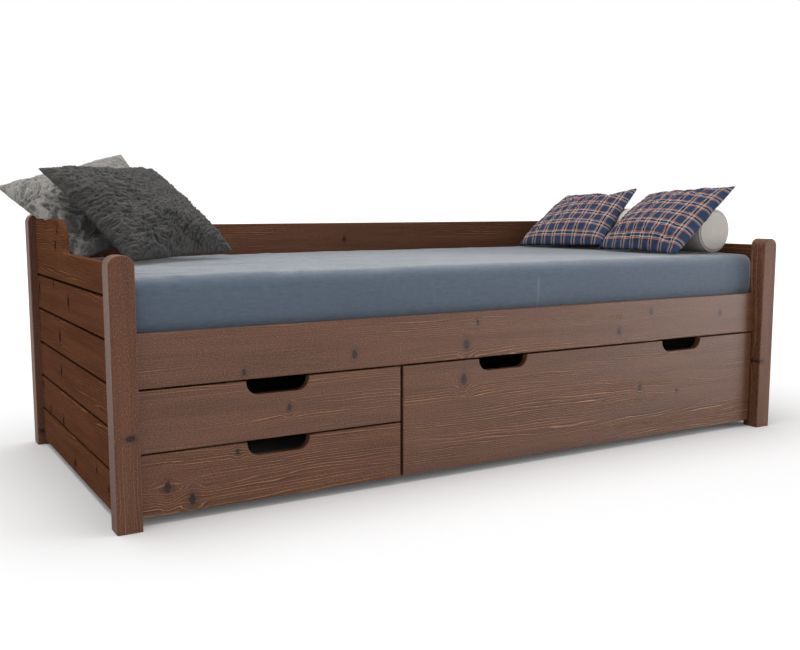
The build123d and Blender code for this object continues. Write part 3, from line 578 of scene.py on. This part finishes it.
def tartan(repeat, colours):
    """A woven check: the threads of both directions show in equal shares."""
    made, tree = new_material("tartan_cotton")
    place = cloth_place(tree)
    x, y, z = node(tree, "SeparateXYZ", {0: place}).outputs
    warp = stripe_colours(tree, x, repeat, colours, True)
    weft = stripe_colours(tree, y, repeat, colours, False)
    tone = blend(tree, 0.5, warp, weft)
    weave = woven(tree, place, 0.0012)
    soft = cloud(tree, place, (30, 30, 1), 3)
    twill = cloud(tree, place, (700, 700, 1), 1)
    tone = blend(tree, maths(tree, "MULTIPLY", span(tree, soft, 0.4, 0.75), 0.18), tone, colours[3])
    tone = blend(tree, maths(tree, "MULTIPLY", span(tree, twill, 0.5, 0.7), 0.06), tone, colours[2])
    rough = maths(tree, "MULTIPLY_ADD", weave, 0.08, 0.76)
    return surface(made.name, tone, tree, rough, weave, 0.0005, specular_ior_level=0.0)


def new_piece(name, mesh, material, node_name):
    """Makes a soft piece that stands for a frame node and rides on the bed."""
    for polygon in mesh.polygons:
        polygon.use_smooth = True
    piece = bpy.data.objects.new(name, mesh)
    bpy.context.scene.collection.objects.link(piece)
    piece.data.materials.append(material)
    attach(piece, "bed")
    if node_name:
        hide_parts(node_name)
    return piece


def set_map(mesh, places):
    """Gives each vertex its place on the flat cloth, as the map named Cloth."""
    layer = mesh.uv_layers.new(name="Cloth")
    for loop in mesh.loops:
        layer.data[loop.index].uv = places[loop.vertex_index]


def ridge(place, sharp):
    """Noise with sharp crests, from 0 to 1."""
    return max(0, 1 - abs(noise.noise(place)) / 0.45) ** sharp


def fold_height(x, y, seed, fine):
    """Height from 0 to 1 of crushed cloth at a place in metres, with creases that run in bent rows."""
    place = Vector((x, y, seed))
    turn = 0.4 + 1.5 * noise.noise(place * 2.5)
    along = x * math.cos(turn) + y * math.sin(turn)
    across = y * math.cos(turn) - x * math.sin(turn)
    bend = noise.noise_vector(place * 16) * 0.9
    fine_bend = noise.noise_vector(place * 45) * 0.9
    large = 0.5 + 1.0 * noise.noise(Vector((along * 7, across * 13, seed)))
    middle = ridge(Vector((along * 20, across * 36, seed + 3)) + bend, 1.5)
    small = ridge(Vector((along * 48, across * 80, seed + 9)) + bend * 2 + fine_bend, 1.1)
    return (0.34 * large + 0.33 * middle + 0.33 * small * fine) / (0.67 + 0.33 * fine)


def swell(piece, pressure, frames, most):
    """Blows a closed cloth up, holds it back where it went further than most, and applies it."""
    scene = bpy.context.scene
    before = [v.co.copy() for v in piece.data.vertices]
    cloth = piece.modifiers.new("Swell", "CLOTH")
    rules = cloth.settings
    rules.quality = 5
    rules.mass = 0.12
    rules.tension_stiffness = rules.compression_stiffness = 18
    rules.shear_stiffness = 8
    rules.bending_stiffness = 0.15
    rules.use_pressure = True
    rules.uniform_pressure_force = pressure
    rules.effector_weights.gravity = 0
    cloth.collision_settings.use_collision = False
    cloth.point_cache.frame_start, cloth.point_cache.frame_end = 1, frames
    for number in range(1, frames + 1):
        scene.frame_set(number)
    swollen = piece.evaluated_get(bpy.context.evaluated_depsgraph_get()).data
    after = [v.co.copy() for v in swollen.vertices]
    piece.modifiers.remove(cloth)
    scene.frame_set(1)
    for vertex, old, new in zip(piece.data.vertices, before, after):
        move = new - old
        vertex.co = old + move * min(1, most / max(move.length, 1e-9))


def sewn_sheets(name, width, height, cells):
    """Two flat sheets sewn together round their edges, with their places on the cloth."""
    rows = cells + 1
    vertices, places, index = [], [], {}
    for side in (1, -1):
        for j in range(rows):
            for i in range(rows):
                edge = i in (0, cells) or j in (0, cells)
                if edge and side < 0:
                    index[side, i, j] = index[1, i, j]
                    continue
                u, v = i / cells, j / cells
                rise = math.sin(math.pi * u) * math.sin(math.pi * v)
                index[side, i, j] = len(vertices)
                vertices.append(((u - 0.5) * width, (v - 0.5) * height, side * 0.018 * rise ** 0.5))
                places.append((u * width, v * height))
    faces = []
    for side in (1, -1):
        for j in range(cells):
            for i in range(cells):
                ring = [index[side, i, j], index[side, i + 1, j], index[side, i + 1, j + 1], index[side, i, j + 1]]
                faces.append(ring if side > 0 else ring[::-1])
    mesh = bpy.data.meshes.new(name)
    mesh.from_pydata(vertices, [], faces)
    set_map(mesh, places)
    return mesh, index


def refined(piece, levels):
    """Applies a subdivision surface to a piece."""
    modifier = piece.modifiers.new("Refine", "SUBSURF")
    modifier.levels = modifier.render_levels = levels
    modifier.boundary_smooth = "PRESERVE_CORNERS"
    fine = piece.evaluated_get(bpy.context.evaluated_depsgraph_get())
    mesh = bpy.data.meshes.new_from_object(fine)
    piece.modifiers.remove(modifier)
    old = piece.data
    piece.data = mesh
    bpy.data.meshes.remove(old)


def seam_corners(seam, wall):
    """The seam corners of a pillow as places in the frame."""
    inward = 1 if wall == LEFT_WALL else -1
    return [Vector((wall + inward * x, BACK_BOARD - y, MATTRESS_HIGH.z + z)) for x, y, z in seam]


def settled(piece, size, cells, index):
    """Straightens the seams of a swollen pillow and takes out the warp of its middle plane."""
    vertices = piece.data.vertices
    for j in range(cells + 1):
        for i in range(cells + 1):
            front, back = vertices[index[1, i, j]], vertices[index[-1, i, j]]
            middle = (front.co.z + back.co.z) / 2 * 0.8
            flat = ((i / cells - 0.5) * size[0], (j / cells - 0.5) * size[1])
            for one in {front.index: front, back.index: back}.values():
                one.co.z -= middle
                one.co.x += (flat[0] - one.co.x) * 0.5
                one.co.y += (flat[1] - one.co.y) * (0.5 + 0.45 * (1 - j / cells) ** 2)


def stand(piece, corners, crown, hollow):
    """Bends a flat pillow to its four seam corners, with its crown before and behind the seam."""
    low_left, low_right, high_right, high_left = corners
    upward = high_left + high_right - low_left - low_right
    xs, ys, zs = zip(*(v.co for v in piece.data.vertices))
    left_x, low_y, width, height = min(xs), min(ys), max(xs) - min(xs), max(ys) - min(ys)
    before, behind = max(zs), -min(zs)
    for vertex in piece.data.vertices:
        u, v = (vertex.co.x - left_x) / width, (vertex.co.y - low_y) / height
        left, right = low_left.lerp(high_left, v), low_right.lerp(high_right, v)
        facing = (right - left).cross(upward).normalized()
        share = vertex.co.z / (before if vertex.co.z > 0 else behind)
        full = math.copysign(abs(share) ** 0.86, share) * (1.22 - 0.4 * v)
        vertex.co = left.lerp(right, u) + facing * full * (crown if share > 0 else hollow)


def creased(piece, height, seed, fine):
    """Moves a pillow's surface in and out in creases, and keeps their height as an attribute."""
    mesh = piece.data
    places = {}
    for loop in mesh.loops:
        places[loop.vertex_index] = mesh.uv_layers["Cloth"].data[loop.index].uv
    keep = mesh.attributes.new("crease", "FLOAT", "POINT")
    normals = [v.normal.copy() for v in mesh.vertices]
    width, tall = (max(place[i] for place in places.values()) for i in range(2))
    for vertex in mesh.vertices:
        x, y = places[vertex.index]
        fold = fold_height(x, y, seed, fine)
        keep.data[vertex.index].value = fold
        rim = min(x, y, width - x, tall - y)
        vertex.co += normals[vertex.index] * height * (fold - 0.4) * 2 * min(1, 0.12 + rim / 0.035)
    mesh.update()


def press_on_mattress(piece):
    """Flattens what would sink into the mattress."""
    rest = MATTRESS_HIGH.z + CLEARANCE
    for vertex in piece.data.vertices:
        if vertex.co.z < rest:
            vertex.co.z = rest + (rest - vertex.co.z) * 0.02


def press_on_bolster(piece, low, high):
    """Moves what would sink into the bolster out to its surface."""
    axis_x = (low.x + high.x) / 2
    axis_z = (low.z + high.z) / 2
    radius = (high.x - low.x) / 2 + CLEARANCE
    for vertex in piece.data.vertices:
        across, up = vertex.co.x - axis_x, vertex.co.z - axis_z
        far = math.hypot(across, up)
        if far < radius and low.y - CLEARANCE < vertex.co.y < high.y + CLEARANCE:
            vertex.co.x = axis_x + across * radius / far
            vertex.co.z = axis_z + up * radius / far


def press_on_piece(piece, other):
    """Moves what would sink into another soft piece out to its surface."""
    tree = BVHTree.FromPolygons([v.co for v in other.data.vertices], [p.vertices for p in other.data.polygons])
    for vertex in piece.data.vertices:
        place, normal, index, distance = tree.find_nearest(vertex.co)
        if (vertex.co - place).dot(normal) < CLEARANCE:
            vertex.co = place + normal * CLEARANCE


def press_on_box(piece, low, high):
    """Moves what would sink into a board out of its inner face or its top."""
    for vertex in piece.data.vertices:
        inside = all(low[i] - CLEARANCE < vertex.co[i] < high[i] + CLEARANCE for i in range(3))
        if inside:
            inner, top = high.x + CLEARANCE - vertex.co.x, high.z + CLEARANCE - vertex.co.z
            if inner < top:
                vertex.co.x += inner
            else:
                vertex.co.z += top


def pillow(name, size, cells, seam, wall, crown, hollow, material, seed, crease, levels=1, fine=1.0):
    """A stuffed pillow, swollen, creased and set on its seam corners."""
    mesh, index = sewn_sheets(name, size[0], size[1], cells)
    piece = new_piece(name, mesh, material, name.replace("_cover", ""))
    for vertex in mesh.vertices:
        vertex.co.z += 0.004 * noise.noise(Vector((vertex.co.x * 9, vertex.co.y * 9, seed)))
    swell(piece, 2.4, 26, 0.12)
    settled(piece, size, cells, index)
    refined(piece, levels)
    stand(piece, seam_corners(seam, wall), crown, hollow)
    creased(piece, crease, seed, fine)
    press_on_mattress(piece)
    return piece


class BED_OT_crinkled_pillows(bpy.types.Operator):
    """Makes the charcoal pillow and the light grey pillow behind it"""
    bl_idname = "bed.crinkled_pillows"
    bl_label = "Crinkled Pillows"

    def execute(self, context):
        cloth = context.scene.bed_crinkled
        dark = crushed("charcoal_cloth", tuple(cloth.charcoal))
        light = crushed("light_cloth", tuple(cloth.light))
        front = pillow("charcoal_pillow_cover", (0.46, 0.46), 48, CHARCOAL_SEAM, LEFT_WALL, 0.072, 0.036,
                       dark, 3.0, cloth.crease, 2)
        back = pillow("light_pillow_cover", (0.40, 0.40), 48, LIGHT_SEAM, LEFT_WALL, 0.054, 0.048,
                      light, 8.0, cloth.crease, 2)
        for board in ("left_end_board_5", "left_end_top_board", "left_back_post"):
            press_on_box(back, *board_block(board))
        press_on_piece(back, front)
        return {"FINISHED"}


def board_block(name):
    """The block of a board that a pillow leans on. The top end board has it behind its step."""
    low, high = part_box(name)
    low.x -= 0.2
    if name == "left_end_top_board":
        low.y = 0.077
    return low, high


class BED_OT_tartan_pillows(bpy.types.Operator):
    """Makes the two checked pillows that lean on the bolster"""
    bl_idname = "bed.tartan_pillows"
    bl_label = "Tartan Pillows"

    def execute(self, context):
        cloth = context.scene.bed_tartan
        colours = tuple(tuple(c) for c in (cloth.ground, cloth.bright, cloth.pale, cloth.dark))
        cotton = tartan(cloth.repeat, colours)
        back = pillow("back_plaid_pillow_cover", (0.46, 0.34), 48, BACK_TARTAN_SEAM, RIGHT_WALL, 0.052, 0.034,
                      cotton, 5.0, 0.0034, 1, 0.0)
        front = pillow("front_plaid_pillow_cover", (0.46, 0.34), 48, FRONT_TARTAN_SEAM, RIGHT_WALL, 0.055, 0.034,
                       cotton, 6.0, 0.0034, 1, 0.0)
        for piece in (back, front):
            press_on_bolster(piece, BOLSTER_LOW, BOLSTER_HIGH)
        press_on_piece(front, back)
        return {"FINISHED"}


def stations(low, high, step, extra=()):
    """Evenly spaced places from low to high, with extra ones between."""
    count = max(1, round((high - low) / step))
    places = [low + (high - low) * i / count for i in range(count + 1)]
    return sorted(set(places) | set(extra))


def rounded_block(name, x_places, y_places, z_places, rounds):
    """A closed block with rounded edges on a grid, with its places on the cloth."""
    low = Vector((x_places[0], y_places[0], z_places[0]))
    high = Vector((x_places[-1], y_places[-1], z_places[-1]))
    made = bmesh.new()
    layer = made.loops.layers.uv.new("Cloth")
    points = {}

    def vertex(x, y, z):
        key = (round(x, 6), round(y, 6), round(z, 6))
        if key not in points:
            place = Vector((x, y, z))
            core = Vector([min(max(place[i], low[i] + rounds[i]), high[i] - rounds[i]) for i in range(3)])
            offset = Vector([(place[i] - core[i]) / rounds[i] for i in range(3)]).normalized()
            points[key] = made.verts.new(core + Vector([offset[i] * rounds[i] for i in range(3)]))
        return points[key]

    def side(first, second, third, where, flip):
        for a, b in zip(first[:-1], first[1:]):
            for c, d in zip(second[:-1], second[1:]):
                corners = [where(a, c, third), where(b, c, third), where(b, d, third), where(a, d, third)]
                places = [(a, c), (b, c), (b, d), (a, d)]
                if flip:
                    corners.reverse()
                    places.reverse()
                face = made.faces.new([vertex(*corner) for corner in corners])
                for loop, place in zip(face.loops, places):
                    loop[layer].uv = place

    for third, flip in ((z_places[-1], False), (z_places[0], True)):
        side(x_places, y_places, third, lambda a, b, c: (a, b, c), flip)
    for third, flip in ((y_places[0], False), (y_places[-1], True)):
        side(x_places, z_places, third, lambda a, b, c: (a, c, b), flip)
    for third, flip in ((x_places[0], True), (x_places[-1], False)):
        side(y_places, z_places, third, lambda a, b, c: (c, a, b), flip)
    mesh = bpy.data.meshes.new(name)
    made.to_mesh(mesh)
    made.free()
    return mesh


class BED_OT_mattress_cover(bpy.types.Operator):
    """Makes the covered mattress with its rounded edges, wrinkles and overlapping cover"""
    bl_idname = "bed.mattress_cover"
    bl_label = "Mattress Cover"

    def execute(self, context):
        cloth = context.scene.bed_mattress
        joint = cloth.joint_x
        low, high = MATTRESS_LOW.copy(), MATTRESS_HIGH.copy()
        bulge = 0.006
        low.y += bulge
        low.x -= 0.006
        high.x += 0.011
        mesh = rounded_block(
            "mattress_cover", stations(low.x, high.x, 0.012, (joint - 0.0007, joint + 0.0007)),
            stations(low.y, high.y, 0.009), stations(low.z, high.z, 0.009),
            (0.018, cloth.edge_round, cloth.edge_round))
        middle_z = (RAIL_TOP + high.z) / 2
        for vertex in mesh.vertices:
            x, y, z = vertex.co
            top = min(1, max(0, (z - high.z + 0.02) / 0.02))
            bend = noise.noise(Vector((x * 2.2, y * 2.5, 7.0))) * 2.2
            long_folds = ridge(Vector((x * 4.0, y * 11 + bend, 2.0)), 1.5)
            short_folds = ridge(Vector((x * 11, y * 26 + bend * 2, 5.0)), 1.2)
            slack = min(1, max(0.35, (0.3 - x) / 0.8))
            fold = slack * (long_folds * 0.65 + short_folds * 0.35 - 1)
            swells = noise.noise(Vector((x * 2.1, y * 4, 4.0)))
            vertex.co.z += top * (cloth.wrinkle * fold + 0.0016 * (swells - 0.7))
            front = min(1, max(0, (low.y + 0.03 - y) / 0.03))
            above = max(0, 1 - ((z - middle_z) / (high.z - RAIL_TOP) * 2) ** 2)
            waves = noise.noise(Vector((x * 5, z * 16, 1.0)))
            vertex.co.y -= front * above * (bulge * 0.85 + 0.0012 * waves)
            if x < joint and z < high.z - 0.05:
                vertex.co.y -= front * min(1, above * 3) * 0.0016
        mesh.update()
        new_piece("mattress_cover", mesh, jersey(tuple(cloth.cover)), "mattress")
        return {"FINISHED"}


class BED_OT_bolster_cover(bpy.types.Operator):
    """Makes the round bolster with its flat ends and piping"""
    bl_idname = "bed.bolster_cover"
    bl_label = "Bolster"

    def execute(self, context):
        cloth = context.scene.bed_bolster
        low, high = BOLSTER_LOW, BOLSTER_HIGH
        radius = (high.x - low.x) / 2
        centre = (low + high) / 2
        turns = 96
        profile = bolster_profile(radius - 0.001, low.y, high.y, cloth.piping)
        vertices, places, faces = [], [], []
        run = 0
        for i, (r, y) in enumerate(profile):
            if i:
                run += math.dist(profile[i - 1], (r, y))
            for j in range(turns):
                angle = 2 * math.pi * j / turns
                ripple = 0.0012 * noise.noise(Vector((math.cos(angle) * 2, y * 6, math.sin(angle) * 2)))
                pucker = 0.0006 * math.sin(angle * 31 + y * 4) * max(0, 1 - min(y - low.y, high.y - y) / 0.03)
                reach = r + (ripple + pucker if r > radius * 0.9 else 0)
                vertices.append((centre.x + reach * math.cos(angle), y, centre.z + reach * math.sin(angle)))
                places.append((run, angle * radius))
        for i in range(len(profile) - 1):
            for j in range(turns):
                k = (j + 1) % turns
                faces.append((i * turns + j, i * turns + k, (i + 1) * turns + k, (i + 1) * turns + j))
        first, last = len(vertices), len(vertices) + 1
        vertices += [(centre.x, low.y + 0.001, centre.z), (centre.x, high.y - 0.001, centre.z)]
        places += [(0, 0), (0, 0)]
        end = (len(profile) - 1) * turns
        for j in range(turns):
            k = (j + 1) % turns
            faces.append((first, k, j))
            faces.append((last, end + j, end + k))
        mesh = bpy.data.meshes.new("bolster_cover")
        mesh.from_pydata(vertices, [], faces)
        set_map(mesh, places)
        for vertex in mesh.vertices:
            rest = MATTRESS_HIGH.z + CLEARANCE
            vertex.co.z = max(vertex.co.z, rest)
        new_piece("bolster_cover", mesh, canvas(tuple(cloth.canvas)), "bolster")
        return {"FINISHED"}


def bolster_profile(radius, start, end, piping):
    """Radius and place along the axis of each ring of the bolster, from one end to the other."""
    cap = [(radius * t, start + 0.003 * (1 - t * t) * -0.5 + 0.0015) for t in (0.12, 0.3, 0.5, 0.68, 0.82, 0.9)]
    cap += [(radius - 0.0075, start + 0.0025), (radius - 0.006, start + 0.0036)]
    bead = [(radius - 0.004 + piping * math.cos(a), start + 0.0045 + piping * math.sin(a))
            for a in (-2.2, -1.4, -0.6, 0.2, 1.0, 1.8)]
    shoulder = [(radius - 0.0035, start + 0.009), (radius - 0.001, start + 0.014), (radius, start + 0.03)]
    half = cap + bead + shoulder
    middle = [(radius, y) for y in stations(start + 0.045, end - 0.045, 0.015)]
    other = [(r, start + end - y) for r, y in reversed(half)]
    return half + middle + other


class BED_OT_stage(bpy.types.Operator):
    """Lays the pale floor and sets the lights and the camera"""
    bl_idname = "bed.stage"
    bl_label = "Floor, Light and Camera"

    def execute(self, context):
        settings = context.scene.bed_stage
        scene = context.scene
        mesh = bpy.data.meshes.new("floor")
        half = 60
        mesh.from_pydata([(-half, -half, 0), (half, -half, 0), (half, half, 0), (-half, half, 0)], [],
                         [(0, 1, 2, 3)])
        floor = bpy.data.objects.new("floor", mesh)
        scene.collection.objects.link(floor)
        floor.data.materials.append(floor_paint(tuple(settings.floor)))
        world = bpy.data.worlds.new("studio")
        scene.world = world
        world.use_nodes = True
        tree = world.node_tree
        path = node(tree, "LightPath").outputs
        seen = maths(tree, "MAXIMUM", path["Is Camera Ray"],
                     maths(tree, "MAXIMUM", path["Is Glossy Ray"], path["Is Transmission Ray"]))
        strength = maths(tree, "MULTIPLY_ADD", seen, 1 - settings.dome, settings.dome)
        back = tree.nodes["Background"]
        back.inputs[0].default_value = (1, 1, 1, 1)
        tree.links.new(strength, back.inputs[1])
        lamp("key", (-0.6, 0.2, 4.2), (0, 0, 0), 4.0, settings.key)
        lamp("side", (5.6, -3.7, 0.9), (0.6, -0.4, 0.3), 2.8, settings.side)
        camera = bpy.data.cameras.new("camera")
        camera.lens = settings.lens
        camera.sensor_width = 36
        eye = bpy.data.objects.new("camera", camera)
        eye.location = (-1.5161, -2.5705, 0.7189)
        eye.rotation_euler = (math.radians(82.95), 0, math.radians(-30.36))
        scene.collection.objects.link(eye)
        scene.camera = eye
        scene.view_settings.view_transform = "Standard"
        return {"FINISHED"}


def lamp(name, place, target, size, power):
    """A large soft lamp that faces a target."""
    light = bpy.data.lights.new(name, "AREA")
    light.shape = "DISK"
    light.size = size
    light.energy = power
    made = bpy.data.objects.new(name, light)
    made.location = place
    made.rotation_euler = (Vector(target) - Vector(place)).to_track_quat("-Z", "Y").to_euler()
    bpy.context.scene.collection.objects.link(made)
    return made


def floor_paint(tint):
    """A matt floor that shows white to the camera away from the bed's shadow."""
    made, tree = new_material("pale_floor")
    shader = tree.nodes["Principled BSDF"]
    place = node(tree, "TexCoord").outputs["Object"]
    tone = blend(tree, cloud(tree, place, (40, 40, 40), 2), tuple(c * 0.98 for c in tint), tint)
    tree.links.new(tone, shader.inputs["Base Color"])
    shader.inputs["Roughness"].default_value = 0.9
    shader.inputs["Specular IOR Level"].default_value = 0.0
    path = node(tree, "LightPath").outputs
    seen = maths(tree, "MAXIMUM", path["Is Camera Ray"],
                 maths(tree, "MAXIMUM", path["Is Glossy Ray"], path["Is Transmission Ray"]))
    away = node(tree, "VectorMath", {0: place}, operation="LENGTH").outputs["Value"]
    lift = maths(tree, "MULTIPLY_ADD", span(tree, away, 1.2, 5.0), 0.7, 0.04)
    glow = node(tree, "Emission", {0: (1, 1, 1, 1), 1: maths(tree, "MULTIPLY", seen, lift)})
    both = node(tree, "AddShader", {0: shader.outputs[0], 1: glow.outputs[0]})
    tree.links.new(both.outputs[0], tree.nodes["Material Output"].inputs[0])
    return made


class BED_PT_finish(bpy.types.Panel):
    """The finish of the bed, piece by piece"""
    bl_label = "Bed Finish"
    bl_idname = "BED_PT_finish"
    bl_space_type = "VIEW_3D"
    bl_region_type = "UI"
    bl_category = "Bed"

    def draw(self, context):
        for operator, settings in STEPS:
            column = self.layout.column(align=True)
            column.operator(operator)
            group = getattr(context.scene, settings)
            for name in group.bl_rna.properties.keys():
                if name not in ("rna_type", "name"):
                    column.prop(group, name)


SETTINGS = {
    "bed_wood": WoodSettings,
    "bed_fittings": FittingSettings,
    "bed_mattress": MattressSettings,
    "bed_bolster": BolsterSettings,
    "bed_crinkled": CrinkledSettings,
    "bed_tartan": TartanSettings,
    "bed_stage": StageSettings,
}
STEPS = (
    ("bed.stained_wood", "bed_wood"),
    ("bed.inner_wood", "bed_wood"),
    ("bed.fittings", "bed_fittings"),
    ("bed.mattress_cover", "bed_mattress"),
    ("bed.bolster_cover", "bed_bolster"),
    ("bed.crinkled_pillows", "bed_crinkled"),
    ("bed.tartan_pillows", "bed_tartan"),
    ("bed.stage", "bed_stage"),
)
OPERATORS = (BED_OT_stained_wood, BED_OT_inner_wood, BED_OT_fittings, BED_OT_mattress_cover, BED_OT_bolster_cover,
             BED_OT_crinkled_pillows, BED_OT_tartan_pillows, BED_OT_stage)


def register():
    """Registers the settings, the operators and the panel."""
    for name, group in SETTINGS.items():
        bpy.utils.register_class(group)
        setattr(bpy.types.Scene, name, bpy.props.PointerProperty(type=group))
    for made in OPERATORS + (BED_PT_finish,):
        bpy.utils.register_class(made)


def unregister():
    """Takes the panel, the operators and the settings away."""
    for made in (BED_PT_finish,) + OPERATORS[::-1]:
        bpy.utils.unregister_class(made)
    for name, group in SETTINGS.items():
        delattr(bpy.types.Scene, name)
        bpy.utils.unregister_class(group)


def main():
    """Dresses the bed."""
    register()
    for operator, _ in STEPS:
        group, name = operator.split(".")
        getattr(getattr(bpy.ops, group), name)()


if __name__ == "__main__":
    main()
